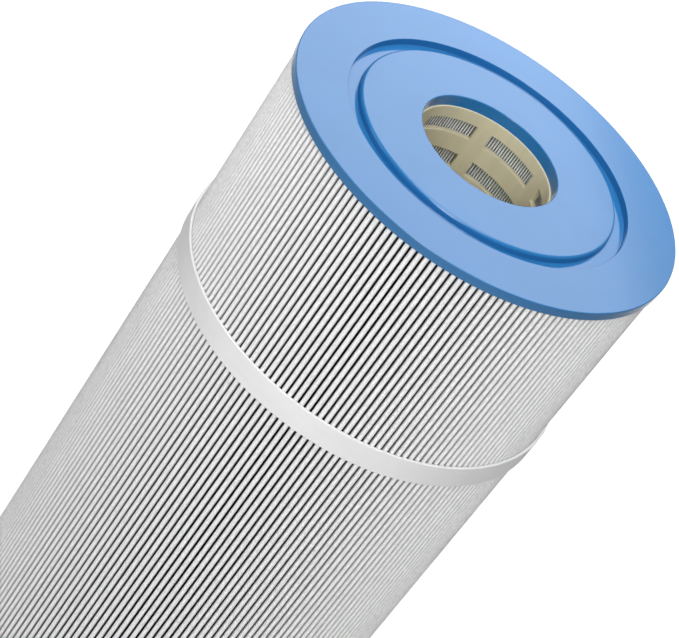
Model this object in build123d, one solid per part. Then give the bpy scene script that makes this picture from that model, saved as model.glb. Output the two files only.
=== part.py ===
from build123d import *
import os
from math import acos, atan2, cos, pi, sin

# Pleated filter cartridge for a pool or spa filter tank, in millimetres.
# The origin is the centre of the bottom face, and +Z runs up the core's axis.
# A moulded core stands inside one pleated sheet. Both ends of both are potted in cast end caps,
# and two straps hold the pleats in.

# ---- Driving sizes ----------------------------------------------------------------------------
overall_length = 593.7         # face to face
cap_diameter = 216.0
port_diameter = 77.0           # hole through each end cap

# End caps
port_wall_height = 6.5         # from the cap's face to the end of the core
rim_height = 5.0               # of the flange that shows outside the pleats
potting_depth = 10.0           # how deep the resin runs between the pleats, behind the rim
potting_setback = 5.0          # from the cap's edge to that deeper resin
groove_inner_radius = 72.4
groove_width = 7.2
groove_depth = 4.0
groove_skin = 0.6              # resin between the groove's floor and the ends of the pleats
disc_edge_radius = 1.5         # soft edge of the raised disc inside the groove
cap_edge_radius = 0.5          # on the rim, the port and the bottom of the groove
groove_lip_radius = 0.2        # crisp outer edge of the groove

# Core
core_ledge = 0.8               # how far the core stands in from the port's wall
core_wall = 3.2
section_count = 5
rows_per_section = 6
windows_per_row = 6
window_height = 8.5
window_angle = 47.0            # degrees
rib_angle = 41.5               # where the first upright rib stands, in degrees
lap_length = 4.0               # spigot of one section in the socket of the next
lap_clearance = 0.1            # radial, between spigot and socket
lap_end_gap = 0.2              # under the tip of the spigot

# Pleated sheet
pleat_count = 183
first_pleat_angle = 0.8        # degrees
sheet_thickness = 0.5
cap_overhang = 1.4             # the cap's edge stands this far outside the pleats
core_gap = 2.6                 # between the core and the inner folds
crest_share = 0.585            # of the pitch that an outer fold spans, along the sheet's middle
seam_pleat = 46                # the pleat in which the sheet's two ends meet
seam_setback = 4.0             # the sheet's ends stop this far short of the crest
seam_root = 3.0                # how far the seam's bead reaches in between them

# Straps
band_width = 14.0
band_thickness = 1.6
band_setback = 114.2           # from a cap's face to the strap's near edge
band_clearance = 0.05          # between strap and pleats
splice_angle = 12.0            # of the skived ends to the strap, in degrees
splice_film = 0.15             # bond between the skived ends
skive_reach = 2.5              # length of the cut, in straps' thicknesses, so that it clears both faces
splice_position = 96.0         # where the ends meet, in degrees

# ---- Sizes that follow ------------------------------------------------------------------------
cap_radius = cap_diameter / 2
port_radius = port_diameter / 2
core_inner_radius = port_radius - core_ledge
core_outer_radius = core_inner_radius + core_wall
cutter_outer_radius = 2 * core_outer_radius     # cutters reach well past the core's wall
cutter_inner_radius = core_inner_radius / 2
core_length = overall_length - 2 * port_wall_height
row_count = section_count * rows_per_section
row_pitch = (core_length - lap_length) / row_count
pleat_end_depth = groove_depth + groove_skin
pleat_length = overall_length - 2 * pleat_end_depth
sheet_outer_radius = cap_radius - cap_overhang
sheet_inner_radius = core_outer_radius + core_gap
pleat_step = 2 * pi / pleat_count

# Fold radii and centres, along the middle of the sheet's thickness.
valley_ratio = pi / (2 * pleat_count)
valley_radius = valley_ratio * (sheet_inner_radius + sheet_thickness / 2) / (1 - valley_ratio)
valley_centre = sheet_inner_radius + sheet_thickness / 2 + valley_radius
crest_ratio = crest_share * pi / pleat_count
crest_radius = crest_ratio * (sheet_outer_radius - sheet_thickness / 2) / (1 + crest_ratio)
crest_centre = sheet_outer_radius - sheet_thickness / 2 - crest_radius


# ---- Pleated sheet ----------------------------------------------------------------------------
def flank_normal():
    """Unit normal of the flank on a pleat's left, for a pleat that points along +X."""
    across = valley_centre * cos(pleat_step / 2) - crest_centre
    along = valley_centre * sin(pleat_step / 2)
    distance = (across ** 2 + along ** 2) ** 0.5
    angle = atan2(along, across) - acos((crest_radius + valley_radius) / distance)
    return cos(angle), sin(angle)


def turned(x, y, angle):
    return x * cos(angle) - y * sin(angle), x * sin(angle) + y * cos(angle)


def pleat_angle(index):
    return first_pleat_angle * pi / 180 + index * pleat_step


def crest_points(index, offset):
    """Right tangent point, tip and left tangent point of an outer fold on one face of the sheet."""
    radius = crest_radius + offset
    normal_x, normal_y = flank_normal()
    local = [
        (crest_centre + normal_x * radius, -normal_y * radius),
        (crest_centre + radius, 0),
        (crest_centre + normal_x * radius, normal_y * radius),
    ]
    return [turned(x, y, pleat_angle(index)) for x, y in local]


def valley_points(index, offset):
    """The same three points of the inner fold that follows a pleat, going round."""
    radius = valley_radius - offset
    normal_x, normal_y = flank_normal()
    middle = pleat_step / 2
    centre_x, centre_y = valley_centre * cos(middle), valley_centre * sin(middle)
    right = (centre_x - normal_x * radius, centre_y - normal_y * radius)
    tip = ((valley_centre - radius) * cos(middle), (valley_centre - radius) * sin(middle))
    from_axis = turned(*right, -middle)
    left = turned(from_axis[0], -from_axis[1], middle)
    return [turned(x, y, pleat_angle(index)) for x, y in (right, tip, left)]


def seam_points(offset, depth):
    """Right and left point of the seam pleat's two flanks, this far in from its crest."""
    normal_x, normal_y = flank_normal()
    x = sheet_outer_radius - depth
    radius = crest_radius + offset
    start_x = crest_centre + normal_x * radius
    y = normal_y * radius - (x - start_x) * normal_x / normal_y
    return [turned(x, side * y, pleat_angle(seam_pleat)) for side in (-1, 1)]


def sheet_face_edges(offset):
    """One face of the sheet, from its end in the seam pleat all round to its other end."""
    right_end, left_end = seam_points(offset, seam_setback)
    edges = []
    here = left_end
    for step in range(pleat_count):
        valley = valley_points(seam_pleat + step, offset)
        edges.append(Line(here, valley[0]))
        edges.append(ThreePointArc(*valley))
        here = valley[2]
        if step < pleat_count - 1:
            crest = crest_points(seam_pleat + step + 1, offset)
            edges.append(Line(here, crest[0]))
            edges.append(ThreePointArc(*crest))
            here = crest[2]
    edges.append(Line(here, right_end))
    return edges


def upright(edges, bottom, height):
    """Solid that stands on a closed outline."""
    outline = Wire([edge.edge() for edge in edges])
    return Pos(0, 0, bottom) * extrude(Face(outline), amount=height, dir=(0, 0, 1))


def make_pleated_media():
    half = sheet_thickness / 2
    outside_right, outside_left = seam_points(half, seam_setback)
    inside_right, inside_left = seam_points(-half, seam_setback)
    edges = sheet_face_edges(half) + sheet_face_edges(-half)
    edges.append(Line(outside_right, inside_right))
    edges.append(Line(outside_left, inside_left))
    return upright(edges, pleat_end_depth, pleat_length)


def make_media_seam():
    """Bead that closes the crest of the seam pleat and fills between the sheet's two ends."""
    half = sheet_thickness / 2
    crest = crest_points(seam_pleat, half)
    outside_right, outside_left = seam_points(half, seam_setback)
    inside_right, inside_left = seam_points(-half, seam_setback)
    root_right, root_left = seam_points(-half, seam_setback + seam_root)
    edges = [
        Line(root_right, inside_right),
        Line(inside_right, outside_right),
        Line(outside_right, crest[0]),
        ThreePointArc(*crest),
        Line(crest[2], outside_left),
        Line(outside_left, inside_left),
        Line(inside_left, root_left),
        Line(root_left, root_right),
    ]
    return upright(edges, pleat_end_depth, pleat_length)


# ---- Core -------------------------------------------------------------------------------------
def tube(outer_radius, inner_radius, bottom, top):
    ring = Circle(outer_radius) - Circle(inner_radius)
    return Pos(0, 0, bottom) * extrude(ring, amount=top - bottom)


def window_row(bottom):
    """Cutter for one row of windows round the core."""
    half = window_angle / 2 * pi / 180
    right = turned(cutter_outer_radius, 0, -half)
    left = turned(cutter_outer_radius, 0, half)
    wedge = make_face(Polyline((0, 0), right, left, close=True))
    bay = 360 / windows_per_row
    row = Sketch() + [Rot(0, 0, rib_angle + bay * (step + 0.5)) * wedge for step in range(windows_per_row)]
    return Pos(0, 0, bottom) * extrude(row, amount=window_height)


def make_core_section(index):
    """One moulded length of core. Its spigot points down and its socket opens upwards."""
    first = index == 0
    last = index == section_count - 1
    lap_radius = (core_inner_radius + core_outer_radius) / 2
    low_rib = port_wall_height + lap_length / 2 + index * rows_per_section * row_pitch
    high_rib = low_rib + rows_per_section * row_pitch
    bottom = low_rib - lap_length / 2
    top = high_rib + lap_length / 2
    section = tube(core_outer_radius, core_inner_radius, bottom, top)
    if not first:
        section -= tube(cutter_outer_radius, lap_radius - lap_clearance / 2, bottom, bottom + lap_length)
    if not last:
        floor = top - lap_length - lap_end_gap
        section -= tube(lap_radius + lap_clearance / 2, cutter_inner_radius, floor, top)
    for row in range(rows_per_section):
        section -= window_row(low_rib + (row + 0.5) * row_pitch - window_height / 2)
    return section


# ---- End caps ---------------------------------------------------------------------------------
def cap_profile():
    """Half section of the top cap, radius along X and height along Y, with its face at zero."""
    groove_outer_radius = groove_inner_radius + groove_width
    potting_radius = cap_radius - potting_setback
    corners = {
        "port_edge": (port_radius, 0),
        "disc_edge": (groove_inner_radius, 0),
        "groove_root": (groove_inner_radius, -groove_depth),
        "groove_heel": (groove_outer_radius, -groove_depth),
        "groove_lip": (groove_outer_radius, 0),
        "rim_top": (cap_radius, 0),
        "rim_bottom": (cap_radius, -rim_height),
        "potting_top": (potting_radius, -rim_height),
        "potting_edge": (potting_radius, -potting_depth),
        "collar_bottom": (core_outer_radius, -potting_depth),
        "core_seat": (core_outer_radius, -port_wall_height),
        "port_bottom": (port_radius, -port_wall_height),
    }
    rounded = {
        "port_edge": cap_edge_radius,
        "disc_edge": disc_edge_radius,
        "groove_root": cap_edge_radius,
        "groove_heel": cap_edge_radius,
        "groove_lip": groove_lip_radius,
        "rim_top": cap_edge_radius,
        "rim_bottom": cap_edge_radius,
    }
    section = make_face(Polyline(*corners.values(), close=True))
    for name, radius in rounded.items():
        corner = section.vertices().sort_by_distance((*corners[name], 0))[0]
        section = fillet(corner, radius)
    return section


def make_top_end_cap(potted_pieces):
    """The cap's resin fills the space round the ends of everything that is potted in it."""
    section = Plane.XZ.location * cap_profile()
    cap = Pos(0, 0, overall_length) * revolve(section, Axis.Z)
    for piece in potted_pieces:
        cap -= piece
    return cap


def make_bottom_end_cap(top_end_cap):
    return mirror(top_end_cap, about=Plane.XY.offset(overall_length / 2))


# ---- Straps -----------------------------------------------------------------------------------
def make_band(bottom):
    """A strap with skived ends, and the bond film between them."""
    inner_radius = sheet_outer_radius + band_clearance
    outer_radius = inner_radius + band_thickness
    ring = Circle(outer_radius) - Circle(inner_radius)
    skive_length = skive_reach * band_thickness / sin(splice_angle * pi / 180)
    to_splice = Rot(0, 0, splice_position) * Pos((inner_radius + outer_radius) / 2, 0, 0)
    gap = to_splice * Rot(0, 0, -splice_angle) * Rectangle(splice_film, skive_length)
    strap = extrude(ring - gap, amount=band_width)
    film = extrude(ring & gap, amount=band_width)
    return Pos(0, 0, bottom) * strap, Pos(0, 0, bottom) * film


# ---- Assembly ---------------------------------------------------------------------------------
def main():
    parts = {}
    parts["pleated_media"] = make_pleated_media()
    parts["media_seam"] = make_media_seam()
    for index in range(section_count):
        parts[f"core_section_{index + 1}"] = make_core_section(index)
    parts["top_end_cap"] = make_top_end_cap([parts["pleated_media"], parts["media_seam"]])
    parts["bottom_end_cap"] = make_bottom_end_cap(parts["top_end_cap"])
    lower_edge = band_setback
    upper_edge = overall_length - band_setback - band_width
    parts["lower_band"], parts["lower_band_splice"] = make_band(lower_edge)
    parts["upper_band"], parts["upper_band_splice"] = make_band(upper_edge)

    os.makedirs("parts", exist_ok=True)
    for name, piece in parts.items():
        export_step(piece, f"parts/{name}.step")
        box = piece.bounding_box()
        print(f"{name}: {len(piece.solids())} solid, {piece.volume / 1000:.1f} cm3, "
              f"z {box.min.Z:.1f} to {box.max.Z:.1f}, radius {box.max.X:.2f}")

    flanks = 2 * (crest_centre - valley_centre)
    folds = pi * (crest_radius + valley_radius)
    sheet_run = pleat_count * (flanks + folds)
    print(f"sheet about {sheet_run / 1000:.2f} m by {pleat_length / 1000:.3f} m")


main()
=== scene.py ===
# %% [markdown]
# # A pleated filter cartridge
# This is the filter that stands in a pool or spa's filter tank. Water comes in through a pleated
# sheet, runs into an open core, and leaves through the round port in either end cap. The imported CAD
# model already holds every piece at full size, so this lesson starts by loading it, and each piece
# made here goes where its CAD node says.

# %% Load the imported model
import math
import random

import bmesh
import bpy
from mathutils import Matrix, Vector


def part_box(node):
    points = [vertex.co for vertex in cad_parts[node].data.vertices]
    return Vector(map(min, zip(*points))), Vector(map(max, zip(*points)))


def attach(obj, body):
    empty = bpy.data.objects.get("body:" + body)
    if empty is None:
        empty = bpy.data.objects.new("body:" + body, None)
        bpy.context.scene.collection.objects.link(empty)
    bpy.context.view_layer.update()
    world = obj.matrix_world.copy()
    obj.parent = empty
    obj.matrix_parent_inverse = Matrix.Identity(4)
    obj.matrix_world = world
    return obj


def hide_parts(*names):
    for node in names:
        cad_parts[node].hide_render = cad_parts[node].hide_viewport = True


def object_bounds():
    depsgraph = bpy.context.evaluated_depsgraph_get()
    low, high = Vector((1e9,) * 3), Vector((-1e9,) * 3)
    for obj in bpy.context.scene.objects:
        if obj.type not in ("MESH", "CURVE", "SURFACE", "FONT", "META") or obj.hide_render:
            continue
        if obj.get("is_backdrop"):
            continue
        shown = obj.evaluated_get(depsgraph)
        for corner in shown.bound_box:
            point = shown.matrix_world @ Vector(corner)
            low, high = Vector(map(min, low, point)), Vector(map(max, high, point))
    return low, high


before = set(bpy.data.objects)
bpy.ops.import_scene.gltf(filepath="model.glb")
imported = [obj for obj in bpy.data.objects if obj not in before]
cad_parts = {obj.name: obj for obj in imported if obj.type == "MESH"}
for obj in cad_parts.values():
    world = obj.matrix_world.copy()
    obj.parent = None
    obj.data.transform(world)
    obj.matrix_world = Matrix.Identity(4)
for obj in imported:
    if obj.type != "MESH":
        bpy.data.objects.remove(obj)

cad_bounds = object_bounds()
MM = 0.001
CAP_OVERHANG = 1.4 * MM
CORE_GAP = 2.6 * MM
RIM_HEIGHT = 5.0 * MM
top_low, top_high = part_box("top_end_cap")
bottom_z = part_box("bottom_end_cap")[0][2]
top_z = top_high[2]
cap_radius = (top_high[0] - top_low[0]) / 2
core_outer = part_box("core_section_1")[1][0]
sheet_outer = cap_radius - CAP_OVERHANG
sheet_inner = core_outer + CORE_GAP
print(f"cartridge {top_z / MM:.1f} mm tall, caps {2 * cap_radius / MM:.1f} mm across")

# %% [markdown]
# ## Camera
# A long lens from about a metre away keeps the perspective mild. The camera looks down on the port
# by some 35 degrees, and is rolled, so that the cartridge leans across the picture. Turning it in
# steps, tilt first and roll last, is easier to follow than three Euler angles.

# %% Camera
CAMERA_PLACE = Vector((-0.0121, -0.9512, top_z + 0.5240))
CAMERA_LOOKS_DOWN = math.radians(34.69)
CAMERA_ROLL = math.radians(35.62)
camera_data = bpy.data.cameras.new("camera")
camera_data.sensor_width = 36.0
camera_data.lens = 116.96
camera_data.clip_end = 100.0
camera = bpy.data.objects.new("camera", camera_data)
bpy.context.scene.collection.objects.link(camera)
tilt = Matrix.Rotation(math.pi / 2 - CAMERA_LOOKS_DOWN, 4, "X")
roll = Matrix.Rotation(CAMERA_ROLL, 4, "Z")
camera.matrix_world = Matrix.Translation(CAMERA_PLACE) @ tilt @ roll
bpy.context.scene.camera = camera
cap_middle = Vector((0, 0, top_z))
print(f"camera {(CAMERA_PLACE - cap_middle).length:.2f} m from the cap, lens {camera_data.lens:.0f} mm")

# %% [markdown]
# ## Nodes for the finishes
# Every finish is a small tree of procedural nodes round one Principled shader. A few helpers keep the
# trees short: they start a material, place a noise on Object coordinates, remap or combine values,
# blend two colours, turn a height into a bump, and measure how far a point is from the upright axis
# or from the cartridge's middle. Object coordinates are in metres here, so a noise scale of 1000
# gives grains about a millimetre wide.

# %% Helpers for materials
def start_finish(name, colour, roughness):
    """A material, its node tree and its shader."""
    material = bpy.data.materials.new(name)
    material.use_nodes = True
    material.diffuse_color = (*colour, 1.0)
    tree = material.node_tree
    shader = tree.nodes["Principled BSDF"]
    shader.inputs["Base Color"].default_value = (*colour, 1.0)
    shader.inputs["Roughness"].default_value = roughness
    return material, tree, shader


def placed(tree, stretch=(1, 1, 1), turn=(0, 0, 0)):
    """Object coordinates, stretched and turned."""
    coordinates = tree.nodes.new("ShaderNodeTexCoord")
    mapping = tree.nodes.new("ShaderNodeMapping")
    mapping.inputs["Scale"].default_value = stretch
    mapping.inputs["Rotation"].default_value = [math.radians(angle) for angle in turn]
    tree.links.new(coordinates.outputs["Object"], mapping.inputs["Vector"])
    return mapping.outputs["Vector"]


def noise(tree, where, scale, detail=2.0, rough=0.5):
    texture = tree.nodes.new("ShaderNodeTexNoise")
    texture.inputs["Scale"].default_value = scale
    texture.inputs["Detail"].default_value = detail
    texture.inputs["Roughness"].default_value = rough
    tree.links.new(where, texture.inputs["Vector"])
    return texture.outputs[0]


def remap(tree, value, low, high, to_low=0.0, to_high=1.0):
    node = tree.nodes.new("ShaderNodeMapRange")
    tree.links.new(value, node.inputs["Value"])
    settings = {"From Min": low, "From Max": high, "To Min": to_low, "To Max": to_high}
    for name, number in settings.items():
        node.inputs[name].default_value = number
    return node.outputs["Result"]


def combine(tree, operation, first, second):
    node = tree.nodes.new("ShaderNodeMath")
    node.operation = operation
    for socket, value in zip(node.inputs, (first, second)):
        if isinstance(value, (int, float)):
            socket.default_value = value
        else:
            tree.links.new(value, socket)
    return node.outputs[0]


def blend_colours(tree, factor, first, second):
    """Blend of two colours, each an RGB triple or another node's output."""
    node = tree.nodes.new("ShaderNodeMix")
    node.data_type = "RGBA"
    tree.links.new(factor, node.inputs[0])
    for socket, colour in ((node.inputs[6], first), (node.inputs[7], second)):
        if isinstance(colour, tuple):
            socket.default_value = (*colour, 1.0)
        else:
            tree.links.new(colour, socket)
    return node.outputs[2]


def bump(tree, height, distance, strength=1.0, under=None):
    node = tree.nodes.new("ShaderNodeBump")
    node.inputs["Strength"].default_value = strength
    node.inputs["Distance"].default_value = distance
    tree.links.new(height, node.inputs["Height"])
    if under is not None:
        tree.links.new(under, node.inputs["Normal"])
    return node.outputs["Normal"]


def length_of(tree, vector):
    node = tree.nodes.new("ShaderNodeVectorMath")
    node.operation = "LENGTH"
    tree.links.new(vector, node.inputs[0])
    return node.outputs["Value"]


def distance_from_axis(tree):
    """How far a point is from the cartridge's upright axis, in metres."""
    return length_of(tree, placed(tree, stretch=(1, 1, 0)))


def distance_from_middle(tree):
    """How far a point is above or below the cartridge's middle, in metres."""
    height = length_of(tree, placed(tree, stretch=(0, 0, 1)))
    return combine(tree, "ABSOLUTE", combine(tree, "SUBTRACT", height, top_z / 2), 0)


print("material helpers ready")

# %% [markdown]
# ## The caps' cast resin
# The caps are poured polyurethane: blue, satin, and a little cloudy where the two parts of the resin
# mixed. It could be one flat colour, but on a cast surface the tone and the sheen change slowly, the
# face ripples very slightly, and the rim's corner is rubbed a little paler. The rim's wall is painted
# greyer, a painted sheen that stands in for the pale reflection on it. Behind the rim, between the
# pleats, shade is painted into the resin, darker like the fabric beside it. Distances from the
# cartridge's axis and from its middle find these places.

# %% Cast resin
RUB_INSET = 0.5 * MM
RUB_REACH = 0.1 * MM
WALL_FROM = 0.3 * MM
WALL_FULL = 0.05 * MM
# Painted shade: behind the rim, between the pleats, the resin's colour is darkened almost to black.
SHADE_FROM = 0.3 * MM
SHADE_FULL = 1.0 * MM
SHADE_RADIUS = 60 * MM
SHADE_FADE = 1 * MM


def make_cap_resin():
    material, tree, shader = start_finish("cap_resin", (0.022, 0.161, 0.405), 0.12)
    here = placed(tree)
    radius = distance_from_axis(tree)
    cloud = remap(tree, noise(tree, here, 22, 4, 0.55), 0.3, 0.7)
    tone = blend_colours(tree, cloud, (0.020, 0.155, 0.394), (0.024, 0.167, 0.416))
    edge = remap(tree, radius, cap_radius - RUB_INSET, cap_radius + RUB_REACH)
    rubbed = remap(tree, noise(tree, here, 240, 4, 0.6), 0.5, 0.75)
    wear = combine(tree, "MULTIPLY", combine(tree, "MULTIPLY", edge, rubbed), 0.15)
    rubbed_tone = blend_colours(tree, wear, tone, (0.08, 0.25, 0.48))
    # Painted sheen: the rim's wall gets a greyer colour that stands in for the pale reflection on it.
    wall = remap(tree, radius, cap_radius - WALL_FROM, cap_radius - WALL_FULL)
    face_tone = blend_colours(tree, wall, rubbed_tone, (0.045, 0.165, 0.36))
    # Painted shade behind the rim, outside the port: the colour goes dark where the rim shades it.
    rim_back = top_z / 2 - RIM_HEIGHT
    height = distance_from_middle(tree)
    behind_rim = remap(tree, height, rim_back - SHADE_FULL, rim_back - SHADE_FROM, 1.0, 0.0)
    outside_port = remap(tree, radius, SHADE_RADIUS, SHADE_RADIUS + SHADE_FADE)
    painted_shade = combine(tree, "MULTIPLY", behind_rim, outside_port)
    final_tone = blend_colours(tree, painted_shade, face_tone, (0.004, 0.01, 0.02))
    tree.links.new(final_tone, shader.inputs["Base Color"])
    sheen = remap(tree, noise(tree, here, 40, 3), 0.3, 0.7, 0.11, 0.13)
    rubbed_sheen = combine(tree, "ADD", sheen, combine(tree, "MULTIPLY", wear, 0.5))
    tree.links.new(rubbed_sheen, shader.inputs["Roughness"])
    tree.links.new(bump(tree, noise(tree, here, 90, 2), 0.01 * MM, 0.3), shader.inputs["Normal"])
    return material


cap_resin = make_cap_resin()
print("finish:", cap_resin.name)

# %% [markdown]
# ## The filter fabric
# The sheet is spun-bonded polyester: white, matte, and made of fibres that lie in every direction. A
# woven texture would be wrong. Three noises, each drawn out into fine strands and each turned another
# way, cross like the fibres do, and a slow noise gives the thin and thick patches that show when such
# a fabric is held to the light. Light that gets in between two folds is lost there, so shade is painted
# into the fabric, darker with depth: inwards from the outer folds, and outwards from the inner folds
# that show through the core. Depth comes from the distance to the axis, so it holds from every side.

# %% Spun-bonded fabric
# Painted shade: the depths over which the fabric's colour darkens between its folds.
OUTER_DARK = 2.2 * MM
OUTER_LIGHT = 0.35 * MM
INNER_LIGHT = 0.09 * MM
INNER_DARK = 0.34 * MM


def make_filter_fabric():
    material, tree, shader = start_finish("filter_fabric", (0.90, 0.90, 0.89), 0.85)
    strands = None
    for turn in ((0, 0, 0), (52, 20, 38), (-47, 15, 80)):
        lie = noise(tree, placed(tree, stretch=(1, 1, 0.2), turn=turn), 2200, 2, 0.6)
        strand = remap(tree, lie, 0.5, 0.62)
        strands = strand if strands is None else combine(tree, "MAXIMUM", strands, strand)
    patches = remap(tree, noise(tree, placed(tree), 170, 4, 0.6), 0.34, 0.66)
    fibre_tone = blend_colours(tree, strands, (0.74, 0.74, 0.74), (0.99, 0.99, 0.99))
    tone = blend_colours(tree, remap(tree, patches, 0, 1, 0.45, 1), (0.90, 0.90, 0.90), fibre_tone)
    radius = distance_from_axis(tree)
    # Painted shade: the colour goes nearly black with depth from the outer folds and from the inner folds.
    outside = remap(tree, radius, sheet_outer - OUTER_DARK, sheet_outer - OUTER_LIGHT)
    inside = remap(tree, radius, sheet_inner + INNER_LIGHT, sheet_inner + INNER_DARK, 1.0, 0.0)
    clear_of_painted_shade = combine(tree, "MAXIMUM", outside, inside)
    tree.links.new(blend_colours(tree, clear_of_painted_shade, (0.015, 0.015, 0.015), tone), shader.inputs["Base Color"])
    tree.links.new(remap(tree, strands, 0, 1, 0.92, 0.74), shader.inputs["Roughness"])
    mat = bump(tree, patches, 0.05 * MM, 0.5)
    tree.links.new(bump(tree, strands, 0.05 * MM, 0.7, under=mat), shader.inputs["Normal"])
    shader.inputs["Sheen Weight"].default_value = 0.03
    shader.inputs["Sheen Roughness"].default_value = 0.5
    shader.inputs["Specular IOR Level"].default_value = 0.2
    return material


filter_fabric = make_filter_fabric()
print("finish:", filter_fabric.name)

# %% [markdown]
# ## Plastics and glue
# The core is a cream moulding with flow lines along it and a faint glow where light gets into the
# plastic. The straps are extruded, so their fine lines run round the cartridge: a noise that changes
# almost only with height draws them. The glue is a little yellow.

# %% Core, strap and glue
def make_core_plastic():
    material, tree, shader = start_finish("core_plastic", (0.65, 0.60, 0.42), 0.42)
    flow = remap(tree, noise(tree, placed(tree, stretch=(1, 1, 0.12)), 150, 4, 0.6), 0.3, 0.7)
    tone = blend_colours(tree, flow, (0.62, 0.57, 0.395), (0.68, 0.63, 0.445))
    specks = remap(tree, noise(tree, placed(tree), 1500, 3, 0.7), 0.66, 0.78)
    tree.links.new(blend_colours(tree, specks, tone, (0.54, 0.49, 0.33)), shader.inputs["Base Color"])
    tree.links.new(remap(tree, flow, 0, 1, 0.34, 0.5), shader.inputs["Roughness"])
    skin = bump(tree, flow, 0.02 * MM, 0.5)
    fine = noise(tree, placed(tree), 1200, 3)
    tree.links.new(bump(tree, fine, 0.012 * MM, 0.5, under=skin), shader.inputs["Normal"])
    shader.inputs["Subsurface Weight"].default_value = 0.15
    shader.inputs["Subsurface Radius"].default_value = (1.0, 0.8, 0.45)
    shader.inputs["Subsurface Scale"].default_value = 2.0 * MM
    return material


def make_strap_plastic():
    material, tree, shader = start_finish("strap_plastic", (0.82, 0.82, 0.82), 0.45)
    lines = noise(tree, placed(tree, stretch=(0.01, 0.01, 1)), 2300, 3, 0.6)
    cloud = remap(tree, noise(tree, placed(tree), 45, 4, 0.6), 0.3, 0.7)
    tone = blend_colours(tree, cloud, (0.795, 0.795, 0.795), (0.84, 0.84, 0.84))
    streak = remap(tree, lines, 0.58, 0.74)
    tree.links.new(blend_colours(tree, streak, tone, (0.75, 0.75, 0.75)), shader.inputs["Base Color"])
    tree.links.new(remap(tree, cloud, 0, 1, 0.38, 0.52), shader.inputs["Roughness"])
    drawn = bump(tree, lines, 0.03 * MM, 0.6)
    fine = noise(tree, placed(tree), 1400, 3)
    tree.links.new(bump(tree, fine, 0.012 * MM, 0.5, under=drawn), shader.inputs["Normal"])
    return material


def make_set_glue():
    material, tree, shader = start_finish("set_glue", (0.80, 0.78, 0.70), 0.3)
    ripple = noise(tree, placed(tree), 320, 4, 0.6)
    tone = blend_colours(tree, remap(tree, ripple, 0.3, 0.7), (0.74, 0.71, 0.61), (0.84, 0.83, 0.77))
    tree.links.new(tone, shader.inputs["Base Color"])
    tree.links.new(remap(tree, ripple, 0.3, 0.7, 0.22, 0.42), shader.inputs["Roughness"])
    tree.links.new(bump(tree, ripple, 0.1 * MM, 0.6), shader.inputs["Normal"])
    shader.inputs["Subsurface Weight"].default_value = 0.2
    shader.inputs["Subsurface Scale"].default_value = 1.5 * MM
    return material


core_plastic = make_core_plastic()
strap_plastic = make_strap_plastic()
set_glue = make_set_glue()
print("finishes:", core_plastic.name, strap_plastic.name, set_glue.name)

# %% [markdown]
# ## From a bmesh to a piece
# Each piece is shaped as a bmesh and then becomes an object once, in one helper: smooth shading with
# edges kept crisp past an angle, one finish, the CAD nodes it stands for, and the body it rides on.
# Smooth shading alone would tilt the light on a flat face beside a small bevel, so a weighted-normal
# modifier lets the large faces decide. The cartridge has no moving parts, so everything rides on the
# root.

# %% Helper for pieces
def to_piece(bm, name, finish, nodes, crisp=35.0):
    bmesh.ops.recalc_face_normals(bm, faces=bm.faces[:])
    mesh = bpy.data.meshes.new(name)
    bm.to_mesh(mesh)
    bm.free()
    mesh.materials.append(finish)
    mesh.shade_smooth()
    mesh.set_sharp_from_angle(angle=math.radians(crisp))
    piece = bpy.data.objects.new(name, mesh)
    bpy.context.scene.collection.objects.link(piece)
    flatten = piece.modifiers.new("flat_faces", "WEIGHTED_NORMAL")
    flatten.keep_sharp = True
    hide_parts(*nodes)
    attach(piece, "root")
    mesh.calc_loop_triangles()
    print(f"{name}: {len(mesh.loop_triangles)} triangles")
    return piece


# %% [markdown]
# ## End caps
# An end cap is a disc with a port, a ring-shaped recess, a thin rim outside the pleats, and deeper
# resin behind it. It is round all over, so half of its section, spun once round the axis, is the
# whole cap. The section starts as one flat face because a bevel rounds a face's corners into true
# arcs, and after that only its outline is spun. The disc inside the recess has a soft edge and the
# recess's outer edge is crisp.

# %% Cap section and spin
CAP_STEPS = 320
PORT_RADIUS = 38.5 * MM
PORT_WALL = 6.5 * MM
GROOVE_INNER = 72.4 * MM
GROOVE_OUTER = 79.6 * MM
GROOVE_DEPTH = 4.0 * MM
POTTING_SETBACK = 5.0 * MM
POTTING_RADIUS = cap_radius - POTTING_SETBACK
POTTING_DEPTH = top_high[2] - top_low[2]


def make_end_cap(name, node, face_z, inward):
    """face_z is the height of the cap's face, and inward is -1 on the top cap and 1 on the bottom.

    Each corner is a radius, a depth behind the face, and a rounding in millimetres.
    """
    corners = (
        (PORT_RADIUS, 0, 0.6),
        (GROOVE_INNER, 0, 1.5),
        (GROOVE_INNER, GROOVE_DEPTH, 0.5),
        (GROOVE_OUTER, GROOVE_DEPTH, 0.5),
        (GROOVE_OUTER, 0, 0.25),
        (cap_radius, 0, 0.5),
        (cap_radius, RIM_HEIGHT, 0.5),
        (POTTING_RADIUS, RIM_HEIGHT, 0),
        (POTTING_RADIUS, POTTING_DEPTH, 0),
        (core_outer, POTTING_DEPTH, 0),
        (core_outer, PORT_WALL, 0),
        (PORT_RADIUS, PORT_WALL, 0),
    )
    bm = bmesh.new()
    verts = [bm.verts.new((radius, 0, face_z + inward * depth)) for radius, depth, _ in corners]
    bm.faces.new(verts)
    for vert, (_, _, rounding) in zip(verts, corners):
        if rounding:
            bmesh.ops.bevel(
                bm, geom=[vert], offset=rounding * MM, segments=5, profile=0.5,
                affect="VERTICES", material=-1,
            )
    bmesh.ops.delete(bm, geom=bm.faces[:], context="FACES_ONLY")
    bmesh.ops.spin(
        bm, geom=bm.verts[:] + bm.edges[:], cent=(0, 0, 0), axis=(0, 0, 1),
        angle=2 * math.pi, steps=CAP_STEPS, use_merge=True,
    )
    return to_piece(bm, name, cap_resin, [node])


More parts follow.
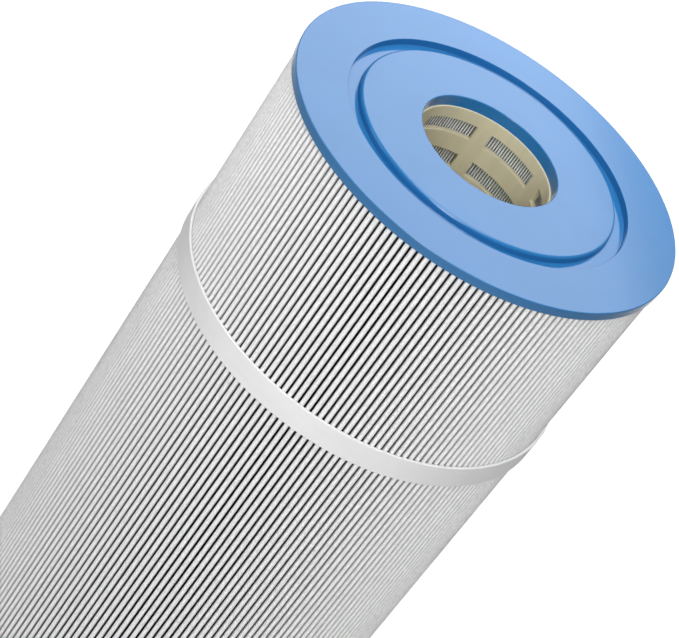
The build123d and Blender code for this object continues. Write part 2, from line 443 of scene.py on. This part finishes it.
make_end_cap("top_cap_casting", "top_end_cap", top_z, -1)
make_end_cap("bottom_cap_casting", "bottom_end_cap", bottom_z, 1)

# %% [markdown]
# ## The pleated sheet
# One long sheet is folded to and fro round the core, and its folds are round, because a stiff fabric
# won't take a sharp crease. Two arcs and two straight flanks make one pleat: a vertex is spun round
# the outer fold's centre, drawn down the flank, spun back round the inner fold's centre, and drawn out
# again. Copies of that line, spun round the axis, make the whole outline.

# %% One pleat's line
PLEATS = 183
FIRST_PLEAT = math.radians(0.8)
SEAM_PLEAT = 46
SEAM_SETBACK = 4.0 * MM
SHEET = 0.5 * MM
CREST_SHARE = 0.585
CREST_STEPS = 8
VALLEY_STEPS = 4
media_low, media_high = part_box("pleated_media")
pleat_step = 2 * math.pi / PLEATS
valley_ratio = math.pi / (2 * PLEATS)
valley_radius = valley_ratio * (sheet_inner + SHEET / 2) / (1 - valley_ratio)
valley_centre = sheet_inner + SHEET / 2 + valley_radius
crest_ratio = CREST_SHARE * math.pi / PLEATS
crest_radius = crest_ratio * (sheet_outer - SHEET / 2) / (1 + crest_ratio)
crest_centre = sheet_outer - SHEET / 2 - crest_radius
across = valley_centre * math.cos(pleat_step / 2) - crest_centre
along = valley_centre * math.sin(pleat_step / 2)
lean = math.atan2(along, across) - math.acos((crest_radius + valley_radius) / math.hypot(across, along))
outer_face = SHEET / 2


def fold(bm, start, centre, angle, steps):
    """Spins a vertex into an arc of edges, and returns the vertex at its far end."""
    made = bmesh.ops.spin(bm, geom=[start], cent=centre, axis=(0, 0, 1), angle=angle, steps=steps)
    return [item for item in made["geom_last"] if isinstance(item, bmesh.types.BMVert)][0]


def draw_on(bm, start, place):
    """Draws a straight edge on from a vertex."""
    end = bm.verts.new(place)
    bm.edges.new((start, end))
    return end


def polar(radius, angle, z=0.0):
    return Vector((radius * math.cos(angle), radius * math.sin(angle), z))


def pleat_line(bm, z):
    """From the right side of the outer fold that points along +X to the next fold's right side."""
    outer_radius = crest_radius + outer_face
    inner_radius = valley_radius - outer_face
    crest = Vector((crest_centre, 0, z))
    valley = polar(valley_centre, pleat_step / 2, z)
    start = bm.verts.new(crest + polar(outer_radius, -lean))
    here = fold(bm, start, crest, 2 * lean, CREST_STEPS)
    here = draw_on(bm, here, valley + polar(inner_radius, lean - math.pi))
    here = fold(bm, here, valley, pleat_step - 2 * lean, VALLEY_STEPS)
    next_crest = polar(crest_centre, pleat_step, z)
    return draw_on(bm, here, next_crest + polar(outer_radius, pleat_step - lean))


# %% [markdown]
# ## From the line to the sheet
# The outline is extruded up the cartridge in short lifts, and a wall the sheet's thickness is given to
# it at the end. Real pleats aren't ruled lines: between the caps and the straps, which hold them, each
# fold wanders by some hundredths of a millimetre. Moving the vertices after the lifts gives that, with
# a random start for each pleat from one fixed seed.

# %% Sheet
LIFTS = 14
WANDER = 0.04 * MM
SINK = 0.04 * MM
SLOW_WAVE = 48 * MM
QUICK_WAVE = 19 * MM
DEEP_WAVE = 36 * MM
HELD_REACH = 20 * MM
SEED = 11
MERGE = 0.01 * MM
held_heights = [media_low[2], media_high[2]]
for strap in ("lower_band", "upper_band"):
    held_heights += [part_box(strap)[0][2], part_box(strap)[1][2]]


def freedom(z):
    """From 0, where a cap or strap holds the folds, to 1 well away from all of them."""
    nearest = min(abs(z - held) for held in held_heights)
    return 1 - math.exp(-nearest / HELD_REACH)


def seam_ends():
    """Where the sheet stops in the seam pleat, on its right and left flank."""
    tangent = Vector((crest_centre, 0, 0)) + polar(crest_radius + outer_face, lean)
    back = (tangent.x - sheet_outer + SEAM_SETBACK) / math.sin(lean)
    end = tangent + polar(back, lean + math.pi / 2)
    turn = Matrix.Rotation(FIRST_PLEAT + SEAM_PLEAT * pleat_step, 3, "Z")
    lift = Vector((0, 0, media_low[2]))
    return [turn @ Vector((end.x, side * end.y, 0)) + lift for side in (-1, 1)]


def sheet_outline(bm):
    """The line of the sheet's outer face, all round, open in the seam pleat."""
    pleat_line(bm, media_low[2])
    bmesh.ops.rotate(bm, verts=bm.verts[:], cent=(0, 0, 0), matrix=Matrix.Rotation(FIRST_PLEAT, 3, "Z"))
    bmesh.ops.spin(
        bm, geom=bm.verts[:] + bm.edges[:], cent=(0, 0, 0), axis=(0, 0, 1), use_duplicate=True,
        angle=2 * math.pi - pleat_step, steps=PLEATS - 1,
    )
    bmesh.ops.remove_doubles(bm, verts=bm.verts[:], dist=MERGE)
    seam_fold = polar(crest_centre, FIRST_PLEAT + SEAM_PLEAT * pleat_step, media_low[2])
    reach = 1.2 * (crest_radius + outer_face)
    folded = [vert for vert in bm.verts if (vert.co - seam_fold).length < reach]
    bmesh.ops.delete(bm, geom=folded, context="VERTS")
    loose = [vert for vert in bm.verts if len(vert.link_edges) == 1]
    for end in seam_ends():
        nearest = min(loose, key=lambda vert: (vert.co - end).length)
        draw_on(bm, nearest, end)
        loose.remove(nearest)


def wander(bm):
    """Moves the folds a little off their ruled lines."""
    dice = random.Random(SEED)
    starts = [[dice.uniform(0, 2 * math.pi) for _ in range(3)] for _ in range(PLEATS)]
    for vert in bm.verts:
        radius = math.hypot(vert.co.x, vert.co.y)
        angle = math.atan2(vert.co.y, vert.co.x)
        slow, quick, deep = starts[round((angle - FIRST_PLEAT) / pleat_step) % PLEATS]
        share = min(max((radius - valley_centre) / (crest_centre - valley_centre), 0), 1)
        share *= freedom(vert.co.z)
        sway = math.sin(vert.co.z / SLOW_WAVE + slow) + 0.5 * math.sin(vert.co.z / QUICK_WAVE + quick)
        sink = 0.5 + 0.5 * math.sin(vert.co.z / DEEP_WAVE + deep)
        place = polar(radius - SINK * share * sink, angle + WANDER * share * sway / radius, vert.co.z)
        vert.co = place


def make_sheet():
    bm = bmesh.new()
    sheet_outline(bm)
    edges = bm.edges[:]
    lift = (media_high[2] - media_low[2]) / LIFTS
    for _ in range(LIFTS):
        made = bmesh.ops.extrude_edge_only(bm, edges=edges)["geom"]
        raised = {item for item in made if isinstance(item, bmesh.types.BMVert)}
        edges = [
            item for item in made
            if isinstance(item, bmesh.types.BMEdge) and item.verts[0] in raised and item.verts[1] in raised
        ]
        bmesh.ops.translate(bm, verts=list(raised), vec=(0, 0, lift))
    wander(bm)
    bmesh.ops.recalc_face_normals(bm, faces=bm.faces[:])
    outermost = max(bm.faces, key=lambda face: face.calc_center_median().xy.length)
    outward = outermost.normal.xy.dot(outermost.calc_center_median().xy) > 0
    bmesh.ops.solidify(bm, geom=bm.faces[:], thickness=SHEET if outward else -SHEET)
    return to_piece(bm, "pleated_sheet", filter_fabric, ["pleated_media"], crisp=60)


sheet = make_sheet()

# %% [markdown]
# ## Core
# The core is a stack of short mouldings, each with six rows of windows, so that the sheet is held up
# and the water still gets through. A column of vertices with a vertex at every window's sill and head
# is spun round the axis, over a rib and then over a window, six times. The window faces are dropped,
# and the skin that is left is extruded outwards into a wall, so that the windows get real depth.
# Where two mouldings meet, each keeps half of its wall: the upper one's inner half is a spigot that
# stands in the lower one's socket.

# %% Core sections
SECTIONS = 5
ROWS = 6
BAYS = 6
WINDOW_HEIGHT = 8.5 * MM
WINDOW_ANGLE = math.radians(47)
RIB_ANGLE = math.radians(41.5)
LAP = 4.0 * MM
LAP_GAP = 0.1 * MM
LAP_FIND = 0.3 * MM
CORE_LEDGE = 0.8 * MM
CORE_INNER = PORT_RADIUS - CORE_LEDGE
RIB_STEPS = 4
WINDOW_STEPS = 14
CORE_BEVEL = 0.28 * MM
SHARP_TURN = 1.0
core_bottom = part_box("core_section_1")[0][2]
core_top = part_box(f"core_section_{SECTIONS}")[1][2]
row_pitch = (core_top - core_bottom - LAP) / (SECTIONS * ROWS)


def is_window(face, sills):
    z = face.calc_center_median().z
    return any(sill < z < sill + WINDOW_HEIGHT for sill in sills)


def spin_on(bm, geom, angle, steps):
    made = bmesh.ops.spin(bm, geom=geom, cent=(0, 0, 0), axis=(0, 0, 1), angle=angle, steps=steps)
    return made["geom_last"]


def ring_faces(bm, z, low, high):
    """End faces at this height whose middle lies between two radii."""
    found = []
    for face in bm.faces:
        middle = face.calc_center_median()
        level = all(abs(vert.co.z - z) < MERGE for vert in face.verts)
        if level and low < middle.xy.length < high:
            found.append(face)
    return found


def extend_half_wall(bm, z, low, high, move, squeeze):
    """Draws half of the wall's end on by a lap, and frees it from the other half by the lap's gap."""
    made = bmesh.ops.extrude_face_region(bm, geom=ring_faces(bm, z, low, high))["geom"]
    verts = [item for item in made if isinstance(item, bmesh.types.BMVert)]
    bmesh.ops.translate(bm, verts=verts, vec=(0, 0, move))
    middle = (CORE_INNER + core_outer) / 2
    for vert in verts:
        if abs(vert.co.xy.length - middle) < LAP_FIND:
            vert.co.xy *= squeeze


def make_core_section(index):
    first, last = index == 0, index == SECTIONS - 1
    low_rib = core_bottom + LAP / 2 + index * ROWS * row_pitch
    high_rib = low_rib + ROWS * row_pitch
    bottom = low_rib + (-LAP / 2 if first else LAP / 2)
    top = high_rib + (LAP / 2 if last else -LAP / 2)
    sills = [low_rib + (row + 0.5) * row_pitch - WINDOW_HEIGHT / 2 for row in range(ROWS)]
    heights = sorted([bottom, top] + sills + [sill + WINDOW_HEIGHT for sill in sills])
    rib_width = 2 * math.pi / BAYS - WINDOW_ANGLE
    bm = bmesh.new()
    column = [bm.verts.new(polar(CORE_INNER, RIB_ANGLE - rib_width / 2, z)) for z in heights]
    geom = column + [bm.edges.new(pair) for pair in zip(column, column[1:])]
    panes = []
    for _ in range(BAYS):
        geom = spin_on(bm, geom, rib_width, RIB_STEPS)
        before = set(bm.faces)
        geom = spin_on(bm, geom, WINDOW_ANGLE, WINDOW_STEPS)
        panes += [face for face in bm.faces if face not in before and is_window(face, sills)]
    bmesh.ops.delete(bm, geom=panes, context="FACES")
    bmesh.ops.remove_doubles(bm, verts=bm.verts[:], dist=MERGE)
    made = bmesh.ops.extrude_face_region(bm, geom=bm.faces[:])["geom"]
    outer = [item for item in made if isinstance(item, bmesh.types.BMVert)]
    ratio = core_outer / CORE_INNER
    bmesh.ops.scale(bm, verts=outer, vec=(ratio, ratio, 1))
    bmesh.ops.recalc_face_normals(bm, faces=bm.faces[:])
    radial = [
        edge for edge in bm.edges
        if abs(edge.verts[0].co.xy.length - edge.verts[1].co.xy.length) > 1 * MM
        and (abs(edge.verts[0].co.z - bottom) < MERGE or abs(edge.verts[0].co.z - top) < MERGE)
    ]
    bmesh.ops.subdivide_edges(bm, edges=radial, cuts=1, use_grid_fill=False)
    middle = (CORE_INNER + core_outer) / 2
    if not first:
        extend_half_wall(bm, bottom, CORE_INNER, middle, -LAP, 1 - LAP_GAP / (2 * middle))
    if not last:
        extend_half_wall(bm, top, middle, core_outer, LAP, 1 + LAP_GAP / (2 * middle))
    paired = [edge for edge in bm.edges if len(edge.link_faces) == 2]
    sharp = [edge for edge in paired if edge.calc_face_angle() > SHARP_TURN]
    bmesh.ops.bevel(
        bm, geom=sharp, offset=CORE_BEVEL, offset_type="OFFSET", segments=2, profile=0.5,
        affect="EDGES", material=-1, clamp_overlap=True,
    )
    name = f"core_section_{index + 1}"
    return to_piece(bm, f"core_moulding_{index + 1}", core_plastic, [name])


for index in range(SECTIONS):
    make_core_section(index)

# %% [markdown]
# ## Straps
# A strap is drawn round the pleats and closed where nobody looks: its two ends are cut to long
# slants, a skive, so that one lies on the other without a lump, with a film of glue between. It is one
# small rounded face spun almost all the way round. The slant is put in afterwards by turning each
# vertex near the ends a little more the further out it lies.

# %% Straps
SKIVE_ANGLE = math.radians(12)
SPLICE_FILM = 0.15 * MM
SPLICE_AT = math.radians(96)
STRAP_CLEARANCE = 0.05 * MM
STRAP_INNER = sheet_outer + STRAP_CLEARANCE
STRAP_STEPS = 330
STRAP_EDGE = 0.45 * MM
SKIVE_TAPER = math.radians(14)
ROUND_OFF = 1e-6


def make_strap(name, node):
    low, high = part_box(node)
    outer = (high[0] - low[0]) / 2
    middle = (STRAP_INNER + outer) / 2
    bm = bmesh.new()
    corners = ((STRAP_INNER, low[2]), (outer, low[2]), (outer, high[2]), (STRAP_INNER, high[2]))
    verts = [bm.verts.new((radius, 0, z)) for radius, z in corners]
    bm.faces.new(verts)
    bmesh.ops.bevel(
        bm, geom=verts, offset=STRAP_EDGE, segments=3, profile=0.5, affect="VERTICES", material=-1,
    )
    film_turn = SPLICE_FILM / math.sin(SKIVE_ANGLE) / middle
    start = SPLICE_AT + film_turn / 2
    bmesh.ops.rotate(bm, verts=bm.verts[:], cent=(0, 0, 0), matrix=Matrix.Rotation(start, 3, "Z"))
    spin_on(bm, bm.faces[:] + bm.edges[:] + bm.verts[:], 2 * math.pi - film_turn, STRAP_STEPS)
    for vert in bm.verts:
        radius = vert.co.xy.length
        turned = (math.atan2(vert.co.y, vert.co.x) - start + ROUND_OFF) % (2 * math.pi)
        from_end = min(turned, 2 * math.pi - film_turn - turned)
        slant = (radius - middle) / (middle * math.tan(SKIVE_ANGLE))
        slant *= max(0.0, 1 - max(from_end, 0.0) / SKIVE_TAPER)
        vert.co = polar(radius, math.atan2(vert.co.y, vert.co.x) + slant, vert.co.z)
    return to_piece(bm, name, strap_plastic, [node])


make_strap("upper_strap", "upper_band")
make_strap("lower_strap", "lower_band")

# %% [markdown]
# ## Glue that the CAD model already has right
# The bead in the sheet's seam and the films in the two splices are plain strips of glue. Their CAD
# shapes are exact, so they stay, and only their finish changes.

# %% Glue
for name in ("media_seam", "upper_band_splice", "lower_band_splice"):
    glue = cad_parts[name]
    glue.data.materials.clear()
    glue.data.materials.append(set_glue)
    print(name, "finished with", set_glue.name)

# %% [markdown]
# ## Floor and light
# A pale floor and soft panels are enough, and the camera doesn't see the panels themselves. The cap's
# face mirrors whatever stands behind the cartridge. A wide dim panel there lays a pale sheen over the
# blue, and a brighter one is turned on its corner, so that the sheen fades towards the right of the
# cap. One panel above lights the cap. The pleats get a far panel and a near strip from the front: the
# far one also reaches the core's far wall, and the near one makes the sides fall off sooner, as the
# round of the cartridge turns away. A small one on the left lifts the pleats under the cap, and the
# last one, behind the cartridge and facing down, keeps the floor white.

# %% Floor
FLOOR_HALF_WIDTH = 20


def make_floor():
    bm = bmesh.new()
    bmesh.ops.create_grid(bm, x_segments=8, y_segments=8, size=FLOOR_HALF_WIDTH)
    mesh = bpy.data.meshes.new("floor")
    bm.to_mesh(mesh)
    bm.free()
    material, tree, shader = start_finish("floor_paint", (0.93, 0.93, 0.93), 0.8)
    mottle = remap(tree, noise(tree, placed(tree), 3, 3), 0.3, 0.7)
    tone = blend_colours(tree, mottle, (0.92, 0.92, 0.92), (0.94, 0.94, 0.94))
    tree.links.new(tone, shader.inputs["Base Color"])
    mesh.materials.append(material)
    floor = bpy.data.objects.new("floor", mesh)
    bpy.context.scene.collection.objects.link(floor)
    floor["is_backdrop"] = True


make_floor()

# %% Lights
WORLD_STRENGTH = 0.09


def add_panel(name, place, aim, size, radiance, spread=180, roll=0):
    """A soft panel that faces aim. Its power follows from its area and spread, so radiance stays the same."""
    data = bpy.data.lights.new(name, "AREA")
    data.shape = "RECTANGLE"
    data.size, data.size_y = size
    half_spread = math.radians(spread) / 2
    data.spread = 2 * half_spread
    data.energy = radiance * math.pi * size[0] * size[1] * (1 - half_spread / math.tan(half_spread))
    light = bpy.data.objects.new(name, data)
    bpy.context.scene.collection.objects.link(light)
    light.visible_camera = False
    place = Vector(place)
    facing = (Vector(aim) - place).to_track_quat("-Z", "Y").to_matrix().to_4x4()
    light.matrix_world = Matrix.Translation(place) @ facing @ Matrix.Rotation(math.radians(roll), 4, "Z")
    print(f"{name}: {data.energy:.0f} W")


world = bpy.data.worlds.new("studio")
world.use_nodes = True
background = world.node_tree.nodes["Background"]
background.inputs["Color"].default_value = (1, 1, 1, 1)
background.inputs["Strength"].default_value = WORLD_STRENGTH
bpy.context.scene.world = world
bpy.context.scene.view_settings.view_transform = "Standard"
add_panel("glow_panel", (0.0, 3.0, top_z + 1.5), cap_middle, (3.2, 1.6), 0.85)
add_panel("back_panel", (-0.186, 2.263, top_z + 1.793), cap_middle, (1.45, 1.45), 1.74, roll=45)
add_panel("top_panel", (0.0, -0.1, top_z + 0.8), (0, -0.09, top_z), (0.6, 0.6), 7.2, spread=80)
add_panel("front_panel", (0.0, -1.9, top_z + 1.5), (0, 0, top_z - 0.1), (1.2, 1.2), 10.5, spread=50)
add_panel("front_strip", (0.0, -0.75, top_z + 0.1), (0, 0, top_z - 0.1), (0.2, 0.6), 6.9, spread=120)
add_panel("left_panel", (-0.27, -0.10, top_z + 0.03), (-0.1, -0.036, top_z - 0.02), (0.1, 0.1), 2.8)
add_panel("floor_panel", (0.0, 1.05, 0.9), (0.0, 1.06, 0), (1.3, 1.9), 3.7, spread=100)

# %% Print the sizes and finish
visual_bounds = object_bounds()
sizes = {
    "cad": [[float(x) for x in corner] for corner in cad_bounds],
    "visual": [[float(x) for x in corner] for corner in visual_bounds],
}
for name, box in sizes.items():
    print(name, [round((high - low) / MM, 2) for low, high in zip(*box)])
